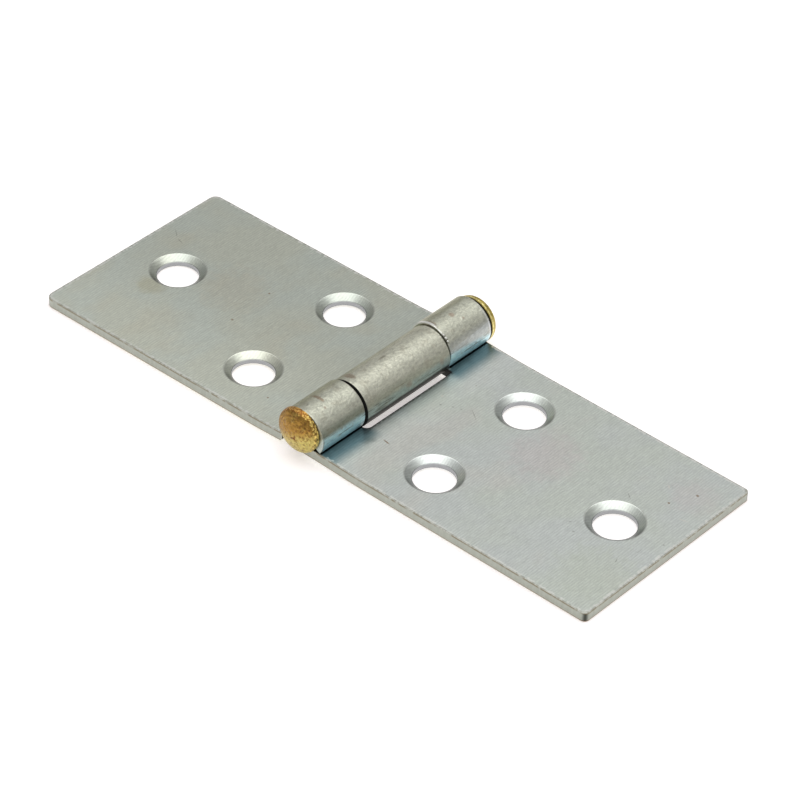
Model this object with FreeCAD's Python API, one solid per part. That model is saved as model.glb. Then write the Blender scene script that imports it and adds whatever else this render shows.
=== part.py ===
import FreeCAD, Part
import math
import os

# Flap hinge of pressed steel sheet, lying open and flat with its knuckles upwards.
# Two leaves are blanked and curled from the same sheet and turn on one brass rivet pin.
# Millimetres. The origin lies on the resting plane below the middle of the pin,
# +X runs along the leaf with the outer knuckles, +Y along the pin, +Z upwards.

# Sheet and blanks
sheet_t = 1.3
leaf_length = 42.5
leaf_width = 30.0
corner_r = 0.7

# Knuckles: the sheet rises a little before it curls round the pin
pin_d = 3.5
pin_clearance = 0.05
knuckle_rise = 0.5
rise_start = 6.0
rise_end = 1.0
curl_end_gap = 0.15
centre_knuckle_length = 14.8
knuckle_gap = 0.2

# Blanked notches that the other leaf's knuckles turn in
slot_clearance = 0.3
notch_clearance = 0.45
slot_corner_r = 0.8
notch_corner_r = 0.3

# Countersunk screw holes, their centres measured from the pin's axis
screw_hole_d = 5.4
countersink_d = 7.2
countersink_depth = 0.7
far_hole_x = 34.6
pair_hole_x = 14.3
pair_hole_spacing = 16.2

# Rivet pin: both ends are hammered into low domes, the front one a little off the axis
head_seat_gap = 0.1
head_height = 1.6
head_shoulder_r = 0.8
front_head_d = 5.9
front_head_rim = 0.2
front_head_offset = 0.55
rear_head_d = 6.2
rear_head_rim = 0.45

pin_r = pin_d / 2
bore_r = pin_r + pin_clearance
knuckle_r = bore_r + sheet_t
axis_z = knuckle_r + knuckle_rise
half_width = leaf_width / 2
tongue_half = centre_knuckle_length / 2
slot_half = tongue_half + knuckle_gap
slot_x = knuckle_r + slot_clearance
notch_x = knuckle_r + notch_clearance


def point(x, z):
    return FreeCAD.Vector(x, -half_width, z)


def on_circle(centre_x, centre_z, radius, degrees):
    """Point on a circle in the section plane, angles measured from +X towards +Z."""
    a = math.radians(degrees)
    return point(centre_x + radius * math.cos(a), centre_z + radius * math.sin(a))


def arc(centre_x, centre_z, radius, start, end):
    """Edge of a circular arc in the section plane from one angle to another."""
    corners = [on_circle(centre_x, centre_z, radius, d) for d in (start, (start + end) / 2, end)]
    return Part.Arc(*corners).toShape()


def line(start, end):
    return Part.makeLine(start, end)


def leaf_section():
    """Section of one leaf: flat sheet, gentle rise, then the curl round the pin."""
    run = rise_start - rise_end
    bend = 2 * math.degrees(math.atan2(knuckle_rise, run))
    bend_r = run / (2 * math.sin(math.radians(bend)))
    low_z = sheet_t / 2 + bend_r
    high_z = knuckle_rise + sheet_t / 2 - bend_r
    half_t = sheet_t / 2

    curl_end = -math.degrees(math.asin((bore_r - curl_end_gap) / knuckle_r))
    curl_start = 270
    underside = [
        line(point(leaf_length, 0), point(rise_start, 0)),
        arc(rise_start, low_z, bend_r + half_t, 270, 270 - bend),
        arc(rise_end, high_z, bend_r - half_t, 90 - bend, 90),
        line(point(rise_end, knuckle_rise), point(0, knuckle_rise)),
        arc(0, axis_z, knuckle_r, curl_start, curl_end),
    ]
    curl_lip = line(on_circle(0, axis_z, knuckle_r, curl_end), on_circle(0, axis_z, bore_r, curl_end))
    top = [
        arc(0, axis_z, bore_r, curl_end, curl_start),
        line(point(0, knuckle_rise + sheet_t), point(rise_end, knuckle_rise + sheet_t)),
        arc(rise_end, high_z, bend_r + half_t, 90, 90 - bend),
        arc(rise_start, low_z, bend_r - half_t, 270 - bend, 270),
        line(point(rise_start, sheet_t), point(leaf_length, sheet_t)),
    ]
    free_end = line(point(leaf_length, sheet_t), point(leaf_length, 0))
    return Part.Face(Part.Wire(underside + [curl_lip] + top + [free_end]))


def upright_block(x0, x1, y0, y1, corners):
    """Block through the whole height whose upright corners are rounded.

    corners maps a corner (x, y) to its radius.
    """
    height = 2 * axis_z
    block = Part.makeBox(x1 - x0, y1 - y0, 2 * height, FreeCAD.Vector(x0, y0, -height / 2))
    for (x, y), radius in corners.items():
        edges = [
            e for e in block.Edges
            if all(abs(v.X - x) < 1e-6 and abs(v.Y - y) < 1e-6 for v in e.Vertexes)
        ]
        block = block.makeFillet(radius, edges)
    return block


def screw_hole(x, y):
    """Straight hole with a shallow countersink in the knuckle side."""
    hole_r = screw_hole_d / 2
    sink_r = countersink_d / 2
    floor = FreeCAD.Vector(x, y, 0)
    bore = Part.makeCylinder(hole_r, 3 * sheet_t, floor - FreeCAD.Vector(0, 0, sheet_t))
    sink_floor = floor + FreeCAD.Vector(0, 0, sheet_t - countersink_depth)
    sink = Part.makeCone(hole_r, sink_r, countersink_depth, sink_floor)
    return bore.fuse(sink)


def screw_holes():
    spots = [
        (far_hole_x, 0),
        (pair_hole_x, pair_hole_spacing / 2),
        (pair_hole_x, -pair_hole_spacing / 2),
    ]
    return [screw_hole(x, y) for x, y in spots]


def blank():
    """Full-width leaf, curled over its whole width, with its free corners rounded."""
    curled = leaf_section().extrude(FreeCAD.Vector(0, leaf_width, 0))
    corners = {(leaf_length, side * half_width): corner_r for side in (-1, 1)}
    outline = upright_block(-2 * knuckle_r, leaf_length, -half_width, half_width, corners)
    return curled.common(outline).cut(Part.makeCompound(screw_holes()))


def outer_knuckle_leaf():
    """Leaf on the +X side: a slot parts its curl into the two outer knuckles."""
    corners = {(slot_x, -slot_half): slot_corner_r, (slot_x, slot_half): notch_corner_r}
    slot = upright_block(-2 * knuckle_r, slot_x, -slot_half, slot_half, corners)
    return blank().cut(slot)


def centre_knuckle_leaf():
    """Leaf on the -X side: both ends of its curl are notched away, and the middle one stays."""
    leaf = blank()
    for side in (-1, 1):
        near, far = sorted((side * tongue_half, side * leaf_width))
        root = (notch_x, side * tongue_half)
        notch = upright_block(-2 * knuckle_r, notch_x, near, far, {root: notch_corner_r})
        leaf = leaf.cut(notch)
    return leaf.mirror(FreeCAD.Vector(0, 0, 0), FreeCAD.Vector(1, 0, 0))


def pin_head(side, diameter, rim, offset):
    """Low dome with an upright rim, turned about its own axis and set off the pin's, up and to -X.

    The dome is a tight shoulder arc that runs smoothly into a flatter crown arc.
    side is -1 in front and 1 behind.
    """
    rim_r = diameter / 2
    lean = offset / math.sqrt(2)
    seat = FreeCAD.Vector(-lean, side * (half_width + head_seat_gap), axis_z + lean)
    along = FreeCAD.Vector(0, side, 0)

    def place(radial, height):
        return seat + FreeCAD.Vector(0, side * height, radial)

    def dome_arc(centre_radial, centre_height, radius, start, end):
        spots = []
        for a in (start, (start + end) / 2, end):
            spots.append(place(centre_radial + radius * math.cos(a), centre_height + radius * math.sin(a)))
        return Part.Arc(*spots).toShape()

    reach = rim_r - head_shoulder_r
    rise = head_height - rim
    crown_r = (reach**2 + rise**2 - head_shoulder_r**2) / (2 * (rise - head_shoulder_r))
    crown_centre = head_height - crown_r
    meet = math.atan2(rim - crown_centre, reach)
    profile = Part.Wire([
        line(place(0, 0), place(rim_r, 0)),
        line(place(rim_r, 0), place(rim_r, rim)),
        dome_arc(reach, rim, head_shoulder_r, 0, meet),
        dome_arc(0, crown_centre, crown_r, meet, math.pi / 2),
        line(place(0, head_height), place(0, 0)),
    ])
    return Part.Face(profile).revolve(seat, along, 360)


def rivet_pin():
    length = leaf_width + 2 * head_seat_gap
    start = FreeCAD.Vector(0, -length / 2, axis_z)
    shank = Part.makeCylinder(pin_r, length, start, FreeCAD.Vector(0, 1, 0))
    front = pin_head(-1, front_head_d, front_head_rim, front_head_offset)
    rear = pin_head(1, rear_head_d, rear_head_rim, 0)
    return shank.fuse([front, rear]).removeSplitter()


os.makedirs("parts", exist_ok=True)
nodes = {
    "centre_knuckle_leaf": centre_knuckle_leaf(),
    "outer_knuckle_leaf": outer_knuckle_leaf(),
    "rivet_pin": rivet_pin(),
}
for name, shape in nodes.items():
    solid = shape.Solids[0]
    print(name, "solids", len(shape.Solids), "valid", shape.isValid(), "volume %.1f mm3" % solid.Volume)
    solid.exportStep("parts/" + name + ".step")
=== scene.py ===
import math

import bmesh
import bpy
from mathutils import Matrix, Vector, noise


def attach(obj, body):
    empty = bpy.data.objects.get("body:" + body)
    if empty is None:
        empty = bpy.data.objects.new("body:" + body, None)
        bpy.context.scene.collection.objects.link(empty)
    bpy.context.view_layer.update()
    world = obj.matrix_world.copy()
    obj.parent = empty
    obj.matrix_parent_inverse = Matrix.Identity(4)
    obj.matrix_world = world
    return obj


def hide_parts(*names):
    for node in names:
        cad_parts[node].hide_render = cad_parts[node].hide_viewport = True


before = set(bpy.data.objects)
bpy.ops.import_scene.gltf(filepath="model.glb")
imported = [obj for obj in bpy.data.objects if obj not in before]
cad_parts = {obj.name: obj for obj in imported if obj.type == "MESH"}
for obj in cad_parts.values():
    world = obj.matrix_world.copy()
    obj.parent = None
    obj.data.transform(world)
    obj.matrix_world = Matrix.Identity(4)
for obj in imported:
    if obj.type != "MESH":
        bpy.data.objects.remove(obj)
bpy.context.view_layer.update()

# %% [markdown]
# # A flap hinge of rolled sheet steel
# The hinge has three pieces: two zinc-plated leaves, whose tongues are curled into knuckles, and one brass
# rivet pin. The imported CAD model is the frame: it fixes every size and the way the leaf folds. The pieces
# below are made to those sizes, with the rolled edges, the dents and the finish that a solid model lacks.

MM = 0.001
sheet_t = 1.3
leaf_length = 42.5
half_width = 15.0
bore_r = 1.8
knuckle_r = 3.1
axis_z = 3.6
hole_spots = [(34.6, 0.0), (14.3, 8.1), (14.3, -8.1)]

# %% [markdown]
# ## The camera
# A camera is put where the photographer stood: in front of the right-hand leaf and above it, nearly half a
# metre away with a long lens. Its angles were found by matching the straight edges and the hole outlines,
# and the small roll is part of that match.

# %% Camera at the photograph's angle
azimuth = math.radians(39.831)
elevation = math.radians(38.074)
roll = math.radians(2.556)
distance = 468.70
aim = Vector((1.075, 0.904, 0.0))

back = Vector((math.sin(azimuth) * math.cos(elevation), -math.cos(azimuth) * math.cos(elevation),
               math.sin(elevation)))
level = (-back).cross(Vector((0, 0, 1))).normalized()
upward = level.cross(-back)
right = math.cos(roll) * level + math.sin(roll) * upward
top = -math.sin(roll) * level + math.cos(roll) * upward

lens = bpy.data.cameras.new("camera")
lens.sensor_width = 36.0
lens.lens = 177.64
lens.clip_start = 0.01
camera = bpy.data.objects.new("camera", lens)
bpy.context.scene.collection.objects.link(camera)
turn = Matrix((right, top, back)).transposed().to_4x4()
camera.matrix_world = Matrix.Translation((aim + distance * back) * MM) @ turn
bpy.context.scene.camera = camera
print("camera stands at", [round(v, 3) for v in camera.location], "m")

# %% [markdown]
# ## Shader maths as plain Python
# A finish is a web of nodes. Written node by node it is long and hard to read, so a `Wire` stands for one
# output, and `+`, `-`, `*` and `/` on wires add Math nodes. Every mask is made with `rise` and `fall`.

# %% Wires
class Wire:
    """One value that runs between shader nodes."""

    def __init__(self, finish, socket):
        self.finish = finish
        self.socket = socket

    def maths(self, operation, *values):
        inputs = dict(enumerate(values))
        return self.finish.wire("ShaderNodeMath", {"operation": operation}, inputs)

    def __add__(self, other):
        return self.maths("ADD", self, other)

    def __sub__(self, other):
        return self.maths("SUBTRACT", self, other)

    def __rsub__(self, other):
        return self.maths("SUBTRACT", other, self)

    def __mul__(self, other):
        return self.maths("MULTIPLY", self, other)

    def __truediv__(self, other):
        return self.maths("DIVIDE", self, other)

    def __rtruediv__(self, other):
        return self.maths("DIVIDE", other, self)

    def __abs__(self):
        return self.maths("ABSOLUTE", self)

    def __pow__(self, power):
        return self.maths("POWER", self, power)

    def below(self, other):
        return self.maths("MINIMUM", self, other)

    def above(self, other):
        return self.maths("MAXIMUM", self, other)

    def rise(self, low, high):
        """0 up to low, 1 from high on, smooth between them."""
        return self.finish.wire("ShaderNodeMapRange", {"interpolation_type": "SMOOTHSTEP"},
                                {0: self, 1: low, 2: high, 3: 0.0, 4: 1.0})

    def fall(self, low, high):
        """1 up to low, 0 from high on."""
        return 1 - self.rise(low, high)

    def band(self, low, full, last, high):
        """1 from full to last, easing to 0 at low and at high."""
        return self.rise(low, full) * self.fall(last, high)

    __radd__ = __add__
    __rmul__ = __mul__


print("wires can be added, multiplied and eased")

# %% [markdown]
# ## A finish
# `Finish` is a material on one Principled BSDF. `node` adds any node: its type, its settings, then its
# inputs. Every length in a finish is in millimetres on the object's own coordinates, so that a mark stays
# where it is on the metal when the leaf turns. `paint` lays a tint over what is there, through a mask.

# %% Finishes
class Finish:
    """A material on one Principled BSDF, with object coordinates in millimetres."""

    def __init__(self, name):
        self.material = bpy.data.materials.new(name)
        self.material.use_nodes = True
        self.tree = self.material.node_tree
        self.surface = self.tree.nodes["Principled BSDF"]
        place = self.wire("ShaderNodeTexCoord", output="Object")
        self.place = self.wire("ShaderNodeVectorMath", {"operation": "SCALE"}, {0: place, "Scale": 1 / MM})
        parts = self.node("ShaderNodeSeparateXYZ", inputs={0: self.place})
        self.x, self.y, self.z = [Wire(self, s) for s in parts.outputs]
        self.colour = None

    def node(self, kind, settings=None, inputs=None):
        new = self.tree.nodes.new(kind)
        for key, value in (settings or {}).items():
            setattr(new, key, value)
        for key, value in (inputs or {}).items():
            if isinstance(value, Wire):
                self.tree.links.new(value.socket, new.inputs[key])
            else:
                new.inputs[key].default_value = value
        return new

    def wire(self, kind, settings=None, inputs=None, output=0):
        return Wire(self, self.node(kind, settings, inputs).outputs[output])

    def stretched(self, scale):
        """Object coordinates with each axis multiplied, so a pattern can run one way."""
        return self.wire("ShaderNodeVectorMath", {"operation": "MULTIPLY"}, {0: self.place, 1: scale})

    def noise(self, scale, detail=2.0, roughness=0.5, distortion=0.0, where=None):
        inputs = {"Vector": where or self.place, "Scale": scale, "Detail": detail,
                  "Roughness": roughness, "Distortion": distortion}
        return self.wire("ShaderNodeTexNoise", inputs=inputs)

    def blend(self, factor, a, b, how="MIX"):
        settings = {"data_type": "RGBA", "blend_type": how, "clamp_factor": True}
        colours = {i: c if isinstance(c, Wire) else (*c, 1.0) for i, c in ((6, a), (7, b))}
        return self.wire("ShaderNodeMix", settings, {0: factor, **colours}, output=2)

    def shade(self, colour, amount):
        """Colour times a value."""
        grey = self.wire("ShaderNodeCombineColor", inputs={0: amount, 1: amount, 2: amount})
        return self.blend(1.0, colour, grey, "MULTIPLY")

    def paint(self, mask, tint):
        self.colour = self.blend(mask, self.colour, tint)

    def feed(self, socket, value):
        if isinstance(value, Wire):
            self.tree.links.new(value.socket, self.surface.inputs[socket])
        else:
            self.surface.inputs[socket].default_value = value

    def relief(self, height_um):
        """Bump from a height in micrometres."""
        bump = self.wire("ShaderNodeBump", inputs={"Strength": 1.0, "Distance": 1e-6, "Height": height_um})
        self.feed("Normal", bump)

    def ring(self, cx, cy):
        """Distance from an upright axis."""
        return ((self.x - cx) * (self.x - cx) + (self.y - cy) * (self.y - cy)) ** 0.5

    def stroke(self, ragged, across, cx, cy, angle, half_length, half_width):
        """1 on a short mark at an angle from +X, 0 away from it. across is the other axis of its plane,
        and ragged is a noise that frays its outline."""
        c, s = math.cos(math.radians(angle)), math.sin(math.radians(angle))
        u = (self.x - cx) * c + (across - cy) * s
        v = (across - cy) * c - (self.x - cx) * s
        far = ((u / half_length) * (u / half_length) + (v / half_width) * (v / half_width)) ** 0.5
        return (far + (ragged - 0.5) * 0.8).fall(0.3, 1.0)


print("finish tools ready")

# %% [markdown]
# ## Zinc plating over cold-rolled sheet
# Bright zinc is a satin metal. The mill leaves fine lines across the strip, the passivation adds a faint
# green, blue or pink cast in soft patches, and handling adds pale scratches and a few rust specks. The
# base colour carries the casts, the roughness and a bump of a few micrometres carry the lines and the
# orange-peel skin that the sheet gets where it is curled. The marks need to know where they are on a leaf,
# so `Plating` first works out places: how far out, how high in the sheet, and how far down over the
# knuckle, from its upper left to its lower right as the photographer sees it.

# %% Places and grains of the plating
tent_rise = 0.3
knuckle_step = 0.2
slant_cos, slant_sin = 0.775, 0.632


class Plating(Finish):
    """Zinc on one leaf. side is +1 or -1 for the leaf's end of X, and seam is 1 on the leaf that dives
    under its own knuckles in sight of the photographer."""

    def __init__(self, name, side, seam):
        super().__init__(name)
        self.side = side
        self.seam = seam
        self.out = self.x * side
        above_axis = self.z - axis_z
        tent = tent_rise * (1 - abs(self.x) / leaf_length)
        self.height = self.z - tent - knuckle_step * abs(self.x).fall(1.0, 9.0)
        self.down = self.x * slant_cos - above_axis * slant_sin
        self.facing = (self.x * slant_sin + above_axis * slant_cos).rise(0.0, 0.3)
        self.reach = (self.x * self.x + above_axis * above_axis) ** 0.5
        self.on_knuckle = self.out.fall(-0.1, 0.1).above(self.z.rise(1.84, 1.92))
        self.lines = self.noise(1.0, detail=1.0, where=self.stretched((6.0, 0.8, 6.0)))
        self.fine = self.noise(1.0, detail=2.0, where=self.stretched((6.0, 2.0, 6.0)))
        self.grain = self.noise(2.2, detail=3.0, roughness=0.6)
        self.peel = self.noise(1.25, detail=3.0, roughness=0.6, distortion=0.8)
        self.leather = self.noise(4.0, detail=3.0, roughness=0.6, distortion=0.5,
                                  where=self.stretched((1.0, 0.55, 1.0)))
        self.broken = self.noise(0.9, detail=3.0)
        self.chips = self.noise(2.2, detail=3.0)
        self.ragged = self.noise(2.6, detail=3.0)


print("the leaves stand", tent_rise + knuckle_step, "mm off the floor at the knuckle")

# %% [markdown]
# ### The flat of a leaf
# A leaf is one tint with two casts that drift into it, and a few smears. Near its knuckles a painted
# slate-blue reflection of them lies on it, and a painted black shadow where it dives under them.

# %% Flat skin
knuckle_reflection = (0.20, 0.30, 0.33)
under_knuckle_shadow = (0.02, 0.025, 0.03)


def flat_skin(f, tints, smears, near_gain):
    """tints are the plain one and two casts, smears are (tint, strength, x, y, radius), and near_gain
    brightens the half that is nearer the photographer."""
    plain, cast, warm = tints
    patches = f.noise(0.085, detail=3.0, roughness=0.55)
    drift = f.noise(0.16, detail=2.0, where=f.stretched((1.0, 0.6, 1.0)))
    skin = f.blend(patches.rise(0.40, 0.62), plain, cast)
    skin = f.blend(drift.rise(0.52, 0.72) * 0.7, skin, warm)
    for tint, strength, cx, cy, radius in smears:
        spread = f.ring(cx, cy) / radius + (f.broken - 0.5) * 0.9
        skin = f.blend(spread.fall(0.3, 1.0) * strength, skin, tint)
    skin = f.shade(skin, 1.0 + f.y.fall(-14.0, 3.0) * near_gain)
    on_top = f.height.rise(1.2, 1.25) * f.seam
    beside = abs(f.y).rise(6.5, 7.8) * 0.7 + 0.25
    # painted reflection of the knuckles on the leaf beside them
    skin = f.blend(on_top * f.out.fall(3.9, 6.0) * beside, skin, knuckle_reflection)
    # painted shadow where the leaf dives under its knuckles
    return f.blend(on_top * f.out.fall(2.70, 2.84) * abs(f.y).rise(7.3, 7.5), skin, under_knuckle_shadow)


print("flat of a leaf: 3 tints")

# %% [markdown]
# ### The skin of a knuckle
# Curling stretches the sheet, so the plating turns duller and mottled. Its tints run in bands round the
# knuckle, and the bands are painted light and shade: painted shade on the upper left and on a belt below
# the crown, a painted highlight over the crown, and a painted blue reflection low down. The rear knuckle
# has a flat belt and facet with a painted sheen that is a little lighter. The skin is darker along creases
# on its lower side, and a painted black shadow lines its lower edge.

# %% Curled skin
rear_belt_sheen = (0.50, 0.52, 0.48)
rear_facet_sheen = (0.52, 0.55, 0.53)
stain = (0.42, 0.39, 0.30)
crease_dark_and_shadow = (0.12, 0.11, 0.08)
underside = (0.06, 0.06, 0.05)


def curled_skin(f, tints, marks):
    """tints run from the upper left over the top to the lower right as bands of painted light and shade:
    painted shade on the left, a painted highlight over the crown, painted shade on the belt and a painted
    blue reflection low down. marks are (tint, strength, how far round, y, half length, half width)."""
    left, crown, belt, low = tints
    at_rear = f.y.rise(7.4, 7.6)
    # painted shade on the upper left, painted highlight over the crown
    skin = f.blend(f.down.rise(-3.0, -2.4), left, crown)
    # painted shade on the belt below the crown
    skin = f.blend(f.down.rise(0.6, 1.6), skin, belt)
    # painted sheen on the rear knuckle's flat belt and facet
    skin = f.blend(at_rear * f.down.rise(0.5, 1.2) * 0.75, skin, rear_belt_sheen)
    skin = f.blend(at_rear * (f.down + (f.y - 11.0) * 0.06).rise(1.38, 1.50), skin, rear_facet_sheen)
    # painted reflection in the low band, blue on the outer knuckles
    skin = f.blend((f.down - at_rear * (f.y - 8.5) * 0.07).rise(1.75, 2.40), skin, low)
    blotch = f.noise(0.7, detail=3.0, roughness=0.6)
    skin = f.blend(blotch.rise(0.52, 0.68) * 0.35, skin, stain)
    creases = f.noise(1.0, detail=3.0, where=f.stretched((3.0, 0.22, 3.0)))
    # darker along creases on the knuckle's lower side
    skin = f.blend(creases.rise(0.56, 0.66) * f.down.rise(0.9, 2.2) * 0.6, skin, crease_dark_and_shadow)
    # painted shadow along the knuckle's lower edge
    skin = f.blend(f.down.rise(2.72, 2.95) * (1.0 - f.seam * 0.8), skin, underside)
    skin = f.shade(skin, 1.0 + (f.leather - 0.5) * 0.8 + (f.peel - 0.5) * 0.3)
    for tint, strength, round_at, y, long, wide in marks:
        away = (((f.down - round_at) / long) ** 2 + ((f.y - y) / wide) ** 2) ** 0.5
        skin = f.blend((away + (f.grain - 0.5) * 1.2).fall(0.4, 1.0) * f.facing * strength, skin, tint)
    return skin


print("skin of a knuckle: 4 bands")

# %% [markdown]
# ### Lines, specks and scratches
# The rolling mill leaves a line every third of a millimetre, which a wave texture gives. Voronoi cells
# give specks: each cell has a colour of its own, and only the few whose colour is high enough get a dot.

# %% Wear
speck_kinds = [(0.42, 0.045, 0.80, (0.26, 0.21, 0.12)), (0.55, 0.035, 0.78, (0.88, 0.88, 0.84))]


def wear(f, marks):
    """marks are (tint, strength, strokes)."""
    mill = f.wire("ShaderNodeTexWave", {"wave_type": "BANDS", "bands_direction": "X"},
                  {"Vector": f.place, "Scale": 0.93, "Distortion": 1.6, "Detail": 2.0, "Detail Scale": 1.2})
    tone = 1.0 + (f.lines - 0.5) * 0.20 + (f.fine - 0.5) * 0.20 + (f.grain - 0.5) * 0.12
    tone = tone + (mill - 0.5) * f.grain.rise(0.35, 0.60) * (1 - f.on_knuckle) * 0.16
    f.colour = f.shade(f.colour, tone)
    for scale, size, odds, tint in speck_kinds:
        dots = f.node("ShaderNodeTexVoronoi", inputs={"Vector": f.place, "Scale": scale})
        chance = f.wire("ShaderNodeSeparateColor", inputs={0: Wire(f, dots.outputs["Color"])})
        near = Wire(f, dots.outputs["Distance"])
        f.paint(near.fall(size * 0.4, size) * chance.rise(odds, odds + 0.02) * 0.5, tint)
    on_leaf = f.z.fall(2.0, 2.2)
    for tint, strength, strokes in marks:
        for stroke in strokes:
            f.paint(f.stroke(f.ragged, f.y, *stroke) * strength * on_leaf, tint)


print("kinds of speck:", len(speck_kinds))

# %% [markdown]
# ### Punched edges
# The punch tears the lower part of the wall and pushes up a ragged bead along its top. A painted highlight
# runs in broken dashes just inside it, and the rolled edge and the walls at the leaf's outer corners are
# painted darker, a painted shade that dims their glint. A painted dark reflection lies in ragged teeth on
# the slot's rounded edges. Dirt stays under the bead and at the foot. `rim` measures the way to the outline
# and follows the rounded corners.

# %% Edges
cut_dark, cut_light = (0.52, 0.55, 0.48), (0.57, 0.60, 0.53)
edge_highlight, edge_glint_shade, bead_dirt = (1.0, 1.0, 0.95), (0.56, 0.57, 0.51), (0.24, 0.21, 0.15)
slot_edge_reflection = (0.16, 0.17, 0.15)
ledge_dirt = (0.20, 0.16, 0.09)
foot_rust = (0.25, 0.16, 0.08)


def cut_edges(f):
    """Returns the mask of the bead."""
    side_in = half_width - 1.0
    past_end = (f.out - (leaf_length - 1.0)).above(0.0)
    past_side = (abs(f.y) - side_in).above(0.0)
    rim = (past_end * past_end + past_side * past_side) ** 0.5 + side_in
    past_curl = f.out.rise(0.0, 0.2)
    off_knuckle = 1 - f.on_knuckle
    wall = rim.rise(14.93, 14.97) * past_curl * f.height.fall(1.22, 1.27)
    streaks = f.noise(1.0, detail=2.0, where=f.stretched((3.5, 3.5, 0.5)))
    cut = f.blend(streaks.rise(0.3, 0.7), cut_dark, cut_light)
    # painted shade on the walls at the outer corners, dimming their glint
    corner_shade = abs(f.y).rise(14.3, 14.8) * f.out.rise(leaf_length - 0.7, leaf_length - 0.2) * 0.6
    f.paint(wall, f.shade(cut, 0.71 - corner_shade))
    ledge = (rim + (f.chips - 0.5) * 0.6).rise(14.55, 14.70) * f.height.rise(1.2, 1.27)
    ledge = ledge * f.out.rise(3.4, 3.6) * off_knuckle
    # painted highlight in broken dashes just inside the edge
    f.paint(ledge * f.chips.rise(0.40, 0.54) * 0.7, edge_highlight)
    bead = rim.rise(14.78, 14.9) * f.height.rise(1.16, 1.24) * past_curl * off_knuckle
    # the rolled edge painted darker, a painted shade that dims its glint
    f.paint(bead * 0.8, edge_glint_shade)
    f.paint(bead * f.chips.fall(0.44, 0.52) * 0.35, bead_dirt)
    # painted dark reflection in ragged teeth along the slot's rounded edges
    slot_edge = abs(f.out - 3.5).fall(0.12, 0.28) * abs(f.y).fall(7.4, 7.6) * f.height.rise(1.1, 1.2)
    f.paint(slot_edge * f.chips.rise(0.40, 0.52) * f.seam * 0.6, slot_edge_reflection)
    f.paint(wall * f.height.rise(1.02, 1.12) * f.broken.fall(0.50, 0.64) * 0.75, ledge_dirt)
    f.paint(wall * f.height.fall(0.08, 0.20) * 0.9, foot_rust)
    return bead


print("edge tints set")

# %% [markdown]
# ### Countersunk holes
# A countersink is turned with a drill, so it is smoother than the sheet, and its near side is painted
# darker, a painted shade where it mirrors less of the bright sweep. Thin darker rings mark its mouth and
# its foot, and the bore below is plain grey.

# %% Holes
far_x, far_y = -0.616, 0.788
bore_grey, mouth_ring, foot_ring = (0.42, 0.43, 0.44), (0.44, 0.45, 0.41), (0.25, 0.26, 0.27)


def sink_holes(f):
    for cx, cy in hole_spots:
        ring = f.ring(cx * f.side, cy)
        behind = ((f.x - cx * f.side) * far_x + (f.y - cy) * far_y) / ring
        # painted shade on the countersink's near side
        sink_shade = ring.fall(3.5, 3.58) * (behind.fall(-0.75, 0.0) * 0.55 + behind.fall(0.2, 0.9) * 0.2)
        f.colour = f.shade(f.colour, 1.0 - sink_shade)
        f.paint(ring.fall(2.65, 2.69) * f.height.fall(0.56, 0.62), bore_grey)
        f.paint(abs(ring - 3.60).fall(0.03, 0.10) * 0.45, mouth_ring)
        f.paint(abs(ring - 2.67).fall(0.02, 0.07) * 0.6, foot_ring)


print("holes in each leaf:", len(hole_spots))

# %% [markdown]
# ### Between the knuckles
# A painted black shadow fills the slot's walls, the bores and the gaps between the knuckles. The ends of
# the knuckles carry thin painted highlights on their rims, the lower side of the front end's rim is a plain
# grey, and beads of plating hang on the rear one, painted near white as a painted highlight and ringed with
# painted shadow.

# %% Gaps and knuckle ends, with painted shadow and highlights
painted_shadow = (0.05, 0.05, 0.05)
lip_highlight, bead_highlight = (0.95, 0.95, 0.90), (0.95, 0.95, 0.90)
rear_end_highlight, front_rim = (0.92, 0.93, 0.92), (0.40, 0.42, 0.37)


def fill_gaps(f):
    """Returns the mask of the painted shadow in the gaps."""
    # painted highlight along the front end of the rear knuckle
    lip = f.y.band(7.62, 7.66, 7.76, 7.86) * f.on_knuckle * f.down.fall(-0.6, 1.4)
    f.paint(lip * (0.5 + f.chips.rise(0.45, 0.55) * 0.4), lip_highlight)
    # painted highlight along the rear knuckle's outer end
    rear_end_glint = f.y.band(14.62, 14.74, 14.84, 14.92) * f.on_knuckle * f.down.rise(-2.0, 0.5) * f.seam
    f.paint(rear_end_glint * 0.55, rear_end_highlight)
    front_end = f.y.fall(-14.85, -14.72) * f.on_knuckle * f.seam
    f.paint(front_end * f.down.rise(1.6, 2.4) * 0.8, front_rim)
    around = f.down.band(-0.7, -0.4, 0.6, 0.9) * f.y.band(7.40, 7.45, 7.85, 8.0)
    # painted shadow round the beads of plating
    f.paint(around * f.reach.band(2.9, 3.0, 3.12, 3.16) * 0.75, crease_dark_and_shadow)
    # the beads of plating painted near white, a painted highlight
    f.paint(f.reach.band(3.16, 3.22, 3.45, 3.5) * f.y.band(7.40, 7.45, 7.95, 8.0) * 0.9, bead_highlight)

    slot_wall = abs(f.out - 3.45).fall(0.12, 0.20) * abs(f.y).fall(14.7, 14.9)
    tongue_end = f.out.fall(3.6, 3.75) * abs(abs(f.y) - 7.5).fall(0.27, 0.33)
    filled = slot_wall.above(tongue_end) * f.height.band(0.02, 0.10, 1.22, 1.28)
    front_gap = f.y.band(-7.72, -7.69, -7.28, -7.24)
    rear_gap = f.y.band(7.38, 7.40, 7.60, 7.62) * f.reach.fall(3.14, 3.18)
    filled = filled.above(f.reach.fall(1.95, 2.05)).above(front_gap.above(rear_gap) * f.on_knuckle)
    # painted shadow in the slot's walls, the bores and the gaps between the knuckles
    f.paint(filled * 0.95, painted_shadow)
    return filled


print("gaps filled with grease")

# %% [markdown]
# ### One zinc for both leaves
# Both leaves get the same layers. What differs is handed over as plain values: the tints, and each
# scratch, rust spot and smear with its place on the leaf.

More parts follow.
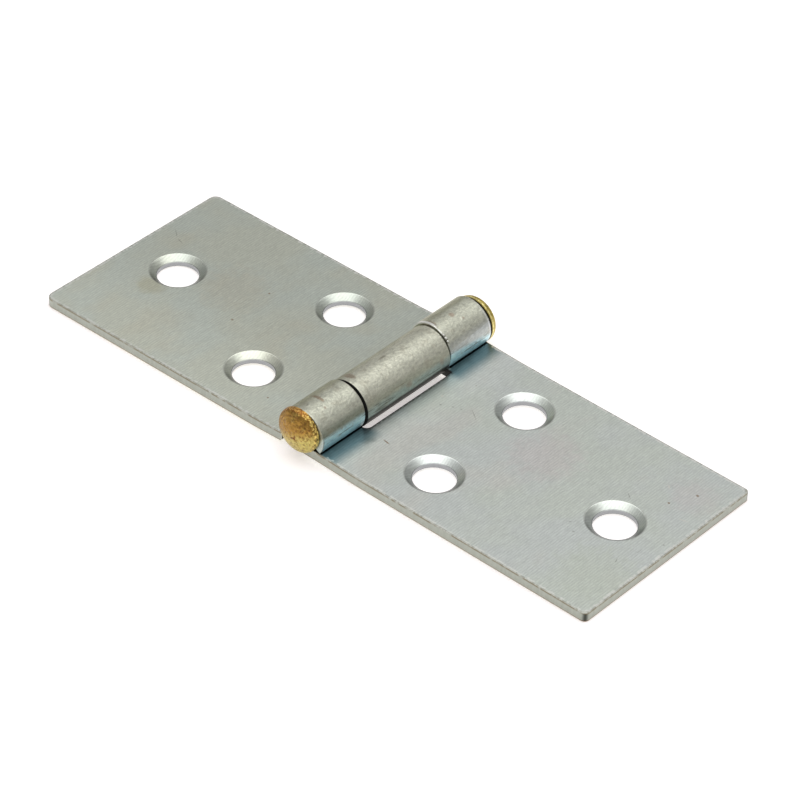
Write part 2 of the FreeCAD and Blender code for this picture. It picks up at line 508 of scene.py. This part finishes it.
# %% Zinc finish
rust = (0.33, 0.20, 0.09)
dark = (0.16, 0.15, 0.11)
pale = (0.90, 0.89, 0.82)


def zinc(name, side, seam, leaf_tints, near_gain, smears, knuckle_tints_and_shade, knuckle_marks, marks):
    f = Plating(name, side, seam)
    flat = flat_skin(f, leaf_tints, smears, near_gain)
    f.colour = f.blend(f.on_knuckle, flat, curled_skin(f, knuckle_tints_and_shade, knuckle_marks))
    wear(f, marks)
    bead = cut_edges(f)
    sink_holes(f)
    filled = fill_gaps(f)
    f.feed("Base Color", f.colour)
    f.feed("Metallic", 1.0)
    f.feed("Roughness", 0.36 + f.on_knuckle * 0.07 + filled * 0.35 + bead * 0.15
           + (f.lines - 0.5) * 0.08 + (f.grain - 0.5) * 0.14)
    stretched = (f.peel * 50.0 + f.leather * 60.0) * f.on_knuckle
    f.relief(f.lines * 6.0 + f.fine * 4.0 + f.grain * 5.0 + stretched)
    print(name, "nodes", len(f.tree.nodes))
    return f


print("marks come in rust, dark and pale")

# %% [markdown]
# ### Marks of the fixed leaf
# This leaf is the brighter one. It has a pink cast between its holes, a dark smear of painted shade beside
# its front knuckle where the sheet is bent, and most of the scratches.

# %% Zinc on the fixed leaf
pink = (0.827, 0.778, 0.757)
dent_shade = (0.30, 0.33, 0.30)
fixed_zinc = zinc(
    "zinc_on_fixed_leaf", 1, 1.0,
    leaf_tints=((0.800, 0.850, 0.778), (0.800, 0.843, 0.810), (0.832, 0.832, 0.772)),
    near_gain=0.0,
    # the third smear is painted shade where the sheet is bent beside the front knuckle
    smears=[(pink, 0.6, 21.4, 3.2, 6.0), (pink, 0.4, 38.5, 9.5, 4.0), (dent_shade, 0.8, 4.4, -8.8, 1.3),
            ((0.762, 0.816, 0.713), 0.6, 39.0, -9.0, 7.0)],
    # knuckle bands of painted light and shade; the last is a painted blue reflection
    knuckle_tints_and_shade=((0.49, 0.49, 0.36), (0.650, 0.657, 0.548), (0.31, 0.33, 0.265), (0.68, 0.94, 1.00)),
    knuckle_marks=[((0.30, 0.18, 0.10), 0.6, -2.4, -12.0, 0.9, 0.35),
                   ((0.34, 0.22, 0.15), 0.5, -1.0, -12.6, 0.3, 0.25),
                   ((0.42, 0.30, 0.22), 0.6, -1.9, 10.9, 0.45, 0.5),
                   ((0.42, 0.30, 0.22), 0.5, -0.8, 11.8, 0.25, 0.22),
                   ((0.28, 0.20, 0.13), 0.6, -2.3, 7.9, 0.9, 0.5)],
    marks=[
        (pale, 0.7, [(35.3, 9.0, -45, 0.55, 0.14), (40.2, 5.4, 15, 0.9, 0.12), (5.5, 3.3, 0, 0.22, 0.22)]),
        (rust, 0.8, [(38.7, 10.0, 0, 0.26, 0.22), (37.1, 6.7, 0, 0.22, 0.2), (6.5, -7.7, -8, 0.75, 0.13)]),
        (dark, 0.35, [(33.0, 4.5, -38, 0.9, 0.08), (41.3, 0.4, 0, 0.18, 0.18), (39.1, -5.4, -70, 0.5, 0.09),
                      (6.4, 2.0, 0, 0.25, 0.12), (7.7, 2.7, 20, 0.3, 0.1), (8.7, 3.1, 0, 0.2, 0.1),
                      (10.4, 3.4, -35, 1.3, 0.08), (31.0, -3.8, 30, 0.3, 0.1),
                      (32.4, -4.9, 10, 0.3, 0.1), (40.0, -2.4, 90, 0.8, 0.07)])])

# %% [markdown]
# ### Marks of the folding leaf
# This leaf is duller and warmer, and its near half is a little brighter. A yellowish stain lies beside its
# far hole.

# %% Zinc on the folding leaf
folding_zinc = zinc(
    "zinc_on_folding_leaf", -1, 0.0,
    leaf_tints=((0.716, 0.742, 0.641), (0.700, 0.748, 0.673), (0.716, 0.716, 0.598)),
    near_gain=0.16,
    smears=[((0.64, 0.63, 0.48), 0.7, -34.9, -4.6, 2.6), ((0.705, 0.694, 0.577), 0.6, -27.0, 2.0, 6.0)],
    # knuckle bands of painted light and shade; the last is a painted blue-green reflection
    knuckle_tints_and_shade=((0.465, 0.465, 0.345), (0.69, 0.69, 0.575), (0.455, 0.465, 0.375), (0.45, 0.53, 0.49)),
    knuckle_marks=[((0.30, 0.21, 0.13), 0.6, -2.5, -6.2, 0.7, 0.6),
                   ((0.24, 0.20, 0.14), 0.5, -2.2, -1.2, 0.15, 0.8),
                   ((0.40, 0.30, 0.22), 0.4, 2.1, 5.9, 0.5, 0.5),
                   ((0.40, 0.30, 0.22), 0.35, 2.2, 0.0, 0.4, 0.7)],
    marks=[
        (pale, 0.5, [(-25.1, 13.9, 40, 0.6, 0.1), (-36.8, -5.3, 0, 0.2, 0.2)]),
        (rust, 0.7, [(-22.8, -2.8, 0, 0.26, 0.22), (-23.2, 4.2, 0, 0.2, 0.18), (-9.2, -11.1, 0, 0.2, 0.2)]),
        (dark, 0.35, [(-40.2, 5.5, -38, 1.1, 0.09), (-38.6, 4.6, -15, 0.8, 0.09)])])

# %% [markdown]
# ## Hammered brass
# The pin's ends are peened over with a hammer, which leaves tiny facets, a ragged rim and dirt in the
# hollows. Brass is a coloured metal, so its base colour is the colour of its reflections. The upper half of
# a head is redder and darker than the lower, so the height picks between two tints. Painted glints lie on
# the front head's rim, a painted highlight line runs round the rear head, and a painted shadow blackens the
# shank and the rear head's seat. The front head sits off the pin's axis, so its rings are drawn about its
# own middle.

# %% Brass finish
head_x, head_z = -0.389, 3.989
yellow_brass, red_brass, bright_brass = (0.56, 0.465, 0.145), (0.40, 0.225, 0.05), (0.62, 0.48, 0.15)
brass_dirt, ring_dirt, rim_dirt = (0.19, 0.09, 0.03), (0.16, 0.08, 0.02), (0.20, 0.09, 0.02)
rear_brass, rear_edge, rear_highlight = (0.60, 0.48, 0.11), (0.46, 0.36, 0.08), (1.0, 0.88, 0.42)
rim_glints, flushed, nick_dirt = (0.92, 0.68, 0.20), (0.52, 0.20, 0.05), (0.16, 0.05, 0.015)
shank_shadow = (0.03, 0.03, 0.02)
nicks = [(-0.25, 3.62, 20), (0.08, 3.80, 80), (0.16, 3.45, -40)]


def brass(name):
    f = Finish(name)
    peen = f.noise(3.0, detail=3.0, roughness=0.7)
    dents = f.node("ShaderNodeTexVoronoi", {"feature": "SMOOTH_F1"}, {"Vector": f.place, "Scale": 2.2})
    blotch = f.noise(0.8, detail=3.0, roughness=0.6)
    dirt = f.noise(3.2, detail=4.0, roughness=0.7)
    ragged = f.noise(2.6, detail=3.0)
    behind = f.y.rise(-1.0, 1.0)
    front = 1 - behind
    high = (f.z + (blotch - 0.5) * 1.6 - f.x * 0.35).rise(3.0, 4.7)
    f.colour = f.blend(high, yellow_brass, red_brass)
    f.paint(blotch.rise(0.52, 0.64) * 0.3, bright_brass)
    f.paint(dirt.rise(0.50, 0.62) * 0.75, brass_dirt)
    f.paint(behind * 0.85, rear_brass)

    sideways, upwards = f.x - head_x, f.z - head_z
    radial = (sideways * sideways + upwards * upwards) ** 0.5
    f.paint(abs(radial - 2.28).fall(0.03, 0.14) * high * front * 0.45, ring_dirt)
    rim = radial.rise(2.74, 2.84) * front * (f.x * 0.5 + f.z - 3.0).rise(-1.5, 1.0)
    # painted glints on the upper right of the front head's rim
    f.paint(rim * peen.rise(0.48, 0.56) * 0.9, rim_glints)
    f.paint(rim * peen.fall(0.42, 0.50) * 0.6, rim_dirt)
    f.paint(radial.rise(2.66, 2.84) * front * (f.z * 0.4 - f.x).rise(1.6, 2.6) * 0.5, flushed)
    for cx, cz, angle in nicks:
        f.paint(f.stroke(ragged, f.z, cx, cz, angle, 0.45, 0.20) * front * 0.8, nick_dirt)

    # painted highlight line on the rear head's band
    rear_highlight_band = behind * abs(f.y - 15.44).fall(0.04, 0.14)
    f.paint(rear_highlight_band * peen.rise(0.36, 0.50) * 0.9, rear_highlight)
    f.paint(behind * f.y.rise(15.58, 15.70) * 0.8, rear_edge)
    # painted shadow on the shank inside the knuckles and at the rear head's seat
    f.paint(abs(f.y).fall(14.7, 14.9).above(behind * f.y.fall(15.2, 15.3)) * 0.95, shank_shadow)
    f.feed("Base Color", f.shade(f.colour, 1.0 + (peen - 0.5) * 1.0))
    f.feed("Metallic", 1.0)
    f.feed("Roughness", 0.34 + (dirt - 0.5) * 0.3)
    f.relief(peen * 120.0 + Wire(f, dents.outputs["Distance"]) * 110.0)
    return f


pin_brass = brass("hammered_brass")
print("brass nodes", len(pin_brass.tree.nodes))

# %% [markdown]
# ## Blanking a leaf
# A real leaf is punched from flat strip before it is curled, so it is made the same way here. A few
# vertices give the outline, a vertex bevel rounds its corners, and a circle is added for each hole. Filling
# between them gives a flat blank with holes, and two extrusions give it the sheet's thickness, with a loop
# in the middle at which the countersink starts. The second extrusion leaves its old lid inside the sheet,
# so that lid is deleted.

# %% Blank
hole_r, mouth_r = 2.63, 3.53
sink_depth = 0.7


def blank(outline, corner_radii):
    """A flat leaf, thickness upwards, from its outline and the radii of its corners."""
    bm = bmesh.new()
    ring = [bm.verts.new((x, y, 0)) for x, y in outline]
    bm.faces.new(ring)
    for index, radius in corner_radii.items():
        bmesh.ops.bevel(bm, geom=[ring[index]], offset=radius, segments=6,
                        profile=0.5, affect="VERTICES", material=-1)
    bmesh.ops.delete(bm, geom=bm.faces[:], context="FACES_ONLY")
    for x, y in hole_spots:
        bmesh.ops.create_circle(bm, segments=72, radius=hole_r, matrix=Matrix.Translation((x, y, 0)))
    bmesh.ops.triangle_fill(bm, use_beauty=True, use_dissolve=False, edges=bm.edges[:])
    for base, depth in ((0.0, sheet_t - sink_depth), (sheet_t - sink_depth, sink_depth)):
        lid = [f for f in bm.faces if abs(f.calc_center_median().z - base) < 1e-6 and abs(f.normal.z) > 0.9]
        grown = bmesh.ops.extrude_face_region(bm, geom=lid, use_keep_orig=base == 0.0)["geom"]
        raised = [v for v in grown if isinstance(v, bmesh.types.BMVert)]
        bmesh.ops.translate(bm, vec=(0, 0, depth), verts=raised)
        if base > 0:
            bmesh.ops.delete(bm, geom=lid, context="FACES")
        bm.normal_update()
    bmesh.ops.recalc_face_normals(bm, faces=bm.faces)
    for x, y in hole_spots:
        mouth = [v for v in bm.verts
                 if v.co.z > sheet_t - 1e-4 and math.hypot(v.co.x - x, v.co.y - y) < 2.8]
        bmesh.ops.scale(bm, vec=(mouth_r / hole_r, mouth_r / hole_r, 1), verts=mouth,
                        space=Matrix.Translation((-x, -y, 0)))
    bm.normal_update()
    return bm


print("holes %.2f mm, opening to %.2f mm" % (2 * hole_r, 2 * mouth_r))

# %% [markdown]
# ## Rolled edges and joints to bend at
# Tumbling and plating round every punched edge a little, and that round is what catches the light. The
# flats get a narrow inner band, so that the rounding doesn't bend their shading. Then the blank is sliced
# across, because a mesh can only bend where it has edges. Vertices that the slices leave closer than a few
# micrometres are merged.

# %% Edge and slice tools
def roll_edges(bm, size):
    """Rounds the punched edges of both faces, and rings the flats with a narrow band that stays flat."""
    for height in (sheet_t, 0.0):
        edges = [e for e in bm.edges
                 if all(abs(v.co.z - height) < 1e-5 for v in e.verts) and e.is_manifold
                 and e.calc_face_angle(0) > math.radians(20)]
        bmesh.ops.bevel(bm, geom=edges, offset=size, segments=3, profile=0.5, affect="EDGES",
                        material=-1, clamp_overlap=False)
    for height in (sheet_t, 0.0):
        flats = [f for f in bm.faces if all(abs(v.co.z - height) < 1e-5 for v in f.verts)]
        bmesh.ops.inset_region(bm, faces=flats, thickness=0.12, use_even_offset=True)
    bm.normal_update()


def slice_across(bm, stations):
    """Cuts edges across the leaf at each distance along it."""
    along = Vector((1, 0, 0))
    for station in stations:
        bmesh.ops.bisect_plane(bm, geom=bm.verts[:] + bm.edges[:] + bm.faces[:], dist=1e-5,
                               plane_co=along * station, plane_no=along)
    bmesh.ops.remove_doubles(bm, verts=bm.verts, dist=0.004)


print("edges are rolled with 3 faces")

# %% [markdown]
# ## Curling a leaf
# The part of the blank that lies past the pin's axis is rolled round it. Every vertex there keeps its
# depth in the sheet and trades its distance past the axis for an angle round it. The leaves of a real
# hinge stand a hair up towards the knuckles when it is laid down, so the leaf is lifted along its length.

# %% Curl tools
middle_r = bore_r + sheet_t / 2
lip_gap = 0.15
curl_turn = 270 + math.degrees(math.asin((bore_r - lip_gap) / knuckle_r))
curl_length = middle_r * math.radians(curl_turn)


def sheet_lift(x):
    """How far the underside stands off the table, x millimetres along the leaf from the pin's axis."""
    ease = min(1.0, max(0.0, (9.0 - x) / 8.0))
    return tent_rise * (1 - max(0.0, x) / leaf_length) + knuckle_step * ease * ease * (3 - 2 * ease)


def curl(bm):
    """Bends what lies past the pin's axis round it, and lifts the leaf towards the knuckle."""
    for v in bm.verts:
        past = -v.co.x
        if past > 0:
            swept = math.radians(-90) - past / middle_r
            radius = knuckle_r - v.co.z
            v.co.x = radius * math.cos(swept)
            v.co.z = knuckle_r + radius * math.sin(swept)
        v.co.z += sheet_lift(v.co.x)
    bm.normal_update()


def swell(bm, lowest_y, highest_y, amount, towards):
    """A curl is never quite round: part of it stands a little proud in one direction."""
    for v in bm.verts:
        arm = Vector((v.co.x, 0, v.co.z - axis_z))
        if lowest_y < v.co.y < highest_y and 0.5 < arm.length < 3.6 and v.co.x < 3.0:
            near = max(0.0, math.cos(math.atan2(arm.z, arm.x) - math.radians(towards)))
            v.co += arm.normalized() * amount * near ** 2
    bm.normal_update()


print("sheet in one curl %.2f mm, turned %.0f degrees" % (curl_length, curl_turn))

# %% [markdown]
# ## From a bent blank to a piece
# A mesh is scaled from millimetres to metres and becomes an object at the origin. Its smooth faces keep a
# crisp line where two faces meet at more than 20 degrees, such as at the foot of a countersink. Each piece
# then says which body it rides on, which CAD node it stands in for, and what it is made of.

# %% Making an object of a mesh
def make_piece(name, bm, finish, body, node):
    bmesh.ops.scale(bm, vec=(MM, MM, MM), verts=bm.verts)
    mesh = bpy.data.meshes.new(name)
    bm.to_mesh(mesh)
    bm.free()
    for polygon in mesh.polygons:
        polygon.use_smooth = True
    mesh.set_sharp_from_angle(angle=math.radians(20))
    mesh.materials.append(finish.material)
    piece = bpy.data.objects.new(name, mesh)
    bpy.context.scene.collection.objects.link(piece)
    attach(piece, body)
    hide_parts(node)
    size = [round(v / MM, 2) for v in piece.dimensions]
    print(name, "faces", len(mesh.polygons), "size in mm", size)


print("pieces are made in metres")

# %% [markdown]
# ## The leaf with two outer knuckles
# Its blank has a slot up the middle, which leaves two tongues. Each is curled round the pin and ends in a
# cut lip just above the leaf. The slot is where the other leaf's knuckle turns. Three small beads of
# plating hang on the inner end of the rear knuckle.

# %% Outer knuckle leaf
blank_end = -curl_length
bend_stations = [blank_end * i / 64 for i in range(64)] + [1.0 + i for i in range(10)]
edge_roll = 0.08
slot_end = 3.4
slot_front, slot_rear = -7.68, 7.62
outer = blank([(blank_end, -half_width), (leaf_length, -half_width), (leaf_length, half_width),
               (blank_end, half_width), (blank_end, slot_rear), (slot_end, slot_rear),
               (slot_end, slot_front), (blank_end, slot_front)],
              {1: 0.7, 2: 0.6, 5: 0.2, 6: 0.8})
roll_edges(outer, edge_roll)
slice_across(outer, bend_stations)
curl(outer)
swell(outer, -16, -7.5, 0.22, 140)
swell(outer, 7.5, 16, 0.28, 140)
bead_reach = 3.20
for degrees, size in ((58, 0.16), (50, 0.19), (42, 0.16)):
    a = math.radians(degrees)
    spot = Vector((bead_reach * math.cos(a), 7.68, axis_z + bead_reach * math.sin(a)))
    bmesh.ops.create_icosphere(outer, subdivisions=2, radius=size, matrix=Matrix.Translation(spot))
make_piece("fixed_leaf_sheet", outer, fixed_zinc, "fixed_leaf", "outer_knuckle_leaf")

# %% [markdown]
# ## The leaf with the centre knuckle
# The same blank with two notches instead of a slot, so that one long tongue stays in the middle. It is made
# on the +X side like the other one, and mirrored to -X at the end. A mirror turns the faces inside out, so
# their normals are worked out again.

# %% Centre knuckle leaf
notch_end = 3.55
tongue_front, tongue_rear = -7.28, 7.38
centre = blank([(notch_end, -half_width), (leaf_length, -half_width), (leaf_length, half_width),
                (notch_end, half_width), (notch_end, tongue_rear), (blank_end, tongue_rear),
                (blank_end, tongue_front), (notch_end, tongue_front)],
               {1: 1.0, 2: 1.0, 4: 0.3, 7: 0.3})
roll_edges(centre, edge_roll)
slice_across(centre, bend_stations)
curl(centre)
swell(centre, -8, 8, 0.18, 218)
bmesh.ops.scale(centre, vec=(-1, 1, 1), verts=centre.verts)
bmesh.ops.recalc_face_normals(centre, faces=centre.faces)
make_piece("folding_leaf_sheet", centre, folding_zinc, "folding_leaf", "centre_knuckle_leaf")

# %% [markdown]
# ## The rivet pin
# The pin is a rod whose ends were hammered over the knuckles. A head is a half section spun round its axis:
# a short rim, a tight shoulder arc and a flatter crown arc that meet without a corner. Then its vertices
# are pushed about by a noise of a few hundredths of a millimetre, most at the rim, so that it looks peened
# and not turned.

# %% Pin heads and shank
head_height = 1.6
shoulder_r = 0.8
head_gap = 0.1


def head_profile(rim_r, rim):
    """Half section of a head as (radius, height) pairs, from the middle of its seat to its top."""
    reach, climb = rim_r - shoulder_r, head_height - rim
    crown_r = (reach ** 2 + climb ** 2 - shoulder_r ** 2) / (2 * (climb - shoulder_r))
    crown_centre = head_height - crown_r
    meet = math.atan2(rim - crown_centre, reach)
    profile = [(0.0, 0.0), (rim_r * 0.5, 0.0), (rim_r, 0.0), (rim_r, rim * 0.5), (rim_r, rim)]
    for i in range(1, 8):
        a = meet * i / 7
        profile.append((reach + shoulder_r * math.cos(a), rim + shoulder_r * math.sin(a)))
    for i in range(1, 15):
        a = meet + (math.pi / 2 - meet) * i / 14
        profile.append((crown_r * math.cos(a), crown_centre + crown_r * math.sin(a)))
    return profile


def head(bm, side, rim_r, rim, lean, seed):
    """side is -1 in front and 1 behind, and lean is how far the head sits off the axis each way."""
    seat = Vector((-lean, side * (half_width + head_gap), axis_z + lean))
    points = [bm.verts.new(seat + Vector((0, side * h, r))) for r, h in head_profile(rim_r, rim)]
    edges = [bm.edges.new(pair) for pair in zip(points, points[1:])]
    bmesh.ops.spin(bm, geom=points + edges, cent=seat, axis=(0, 1, 0), angle=math.tau, steps=96,
                   use_merge=True)
    for v in {v for f in bm.faces for v in f.verts if v.co.y * side > 10}:
        out = v.co - seat
        radial = math.hypot(out.x, out.z)
        if abs(out.y) > 0.02 and radial > 0.05:
            spot = v.co * 2.2 + Vector((seed, 0, 0))
            ragged = noise.noise(spot * 1.6) * 0.05 * (radial / rim_r) ** 4
            facet = noise.noise(spot) * 0.03
            v.co -= Vector((out.x, 0, out.z)) / radial * abs(ragged)
            v.co.y -= side * abs(facet)


pin = bmesh.new()
head(pin, -1, 2.95, 0.2, 0.55 / math.sqrt(2), 3.0)
head(pin, 1, 3.1, 0.45, 0.0, 9.0)
bmesh.ops.create_cone(pin, cap_ends=True, segments=64, radius1=1.75, radius2=1.75, depth=30.4,
                      matrix=Matrix.Translation((0, 0, axis_z)) @ Matrix.Rotation(math.pi / 2, 4, "X"))
bmesh.ops.remove_doubles(pin, verts=pin.verts, dist=1e-4)
bmesh.ops.recalc_face_normals(pin, faces=pin.faces)
make_piece("brass_rivet_pin", pin, pin_brass, "fixed_leaf", "rivet_pin")

# %% [markdown]
# ## The floor
# The hinge lies on a white sweep. The floor takes the hinge's shadow, and a faint glow, seen only by the
# camera and in gloss, lifts it to white. The glow is a little pink, so the shadow is too.

# %% Floor
floor_drop = 0.00002
floor_mesh = bpy.data.meshes.new("floor")
sweep = bmesh.new()
bmesh.ops.create_grid(sweep, x_segments=1, y_segments=1, size=3.0)
sweep.to_mesh(floor_mesh)
sweep.free()
floor = bpy.data.objects.new("floor", floor_mesh)
bpy.context.scene.collection.objects.link(floor)
floor.location.z = -floor_drop
paper = Finish("white_paper")
path = paper.node("ShaderNodeLightPath")
seen = Wire(paper, path.outputs["Is Camera Ray"]) + Wire(paper, path.outputs["Is Glossy Ray"])
seen = seen + Wire(paper, path.outputs["Is Transmission Ray"])
paper.feed("Base Color", (0.90, 0.90, 0.90, 1.0))
paper.feed("Roughness", 0.9)
paper.feed("Emission Color", (1.0, 0.93, 0.92, 1.0))
paper.feed("Emission Strength", seen.below(1.0) * 0.49)
floor_mesh.materials.append(paper.material)
print("floor lies %.2f mm below the leaves" % (floor_drop / MM))

# %% [markdown]
# ## The light
# The hinge was photographed in a white tent: one large soft light overhead, and walls that get brighter
# from the table up. The camera itself sees plain white behind everything.

# %% Light
softbox_place = Vector((0.05, 0.05, 0.9))
softbox_width = 1.15
box = bpy.data.lights.new("overhead_softbox", "AREA")
box.shape = "RECTANGLE"
box.size = box.size_y = softbox_width
box.energy = 4.4
lamp = bpy.data.objects.new("overhead_softbox", box)
bpy.context.scene.collection.objects.link(lamp)
lamp.location = softbox_place
lamp.rotation_euler = softbox_place.to_track_quat("Z", "Y").to_euler()

world = bpy.data.worlds.new("tent")
bpy.context.scene.world = world
world.use_nodes = True
tent = world.node_tree
sky = tent.nodes["Background"]
sight = tent.nodes.new("ShaderNodeLightPath")
direction = tent.nodes.new("ShaderNodeTexCoord")
split = tent.nodes.new("ShaderNodeSeparateXYZ")
climb = tent.nodes.new("ShaderNodeMapRange")
climb.inputs["To Min"].default_value = 0.25
climb.inputs["To Max"].default_value = 0.55
white = tent.nodes.new("ShaderNodeMix")
white.inputs["B"].default_value = 1.0
tent.links.new(direction.outputs["Generated"], split.inputs[0])
tent.links.new(split.outputs["Z"], climb.inputs["Value"])
tent.links.new(climb.outputs[0], white.inputs["A"])
tent.links.new(sight.outputs["Is Camera Ray"], white.inputs["Factor"])
tent.links.new(white.outputs[0], sky.inputs["Strength"])
sky.inputs["Color"].default_value = (1.0, 1.0, 1.0, 1.0)
bpy.context.scene.view_settings.view_transform = "Standard"
print("softbox of", softbox_width, "m at", softbox_place.z, "m")
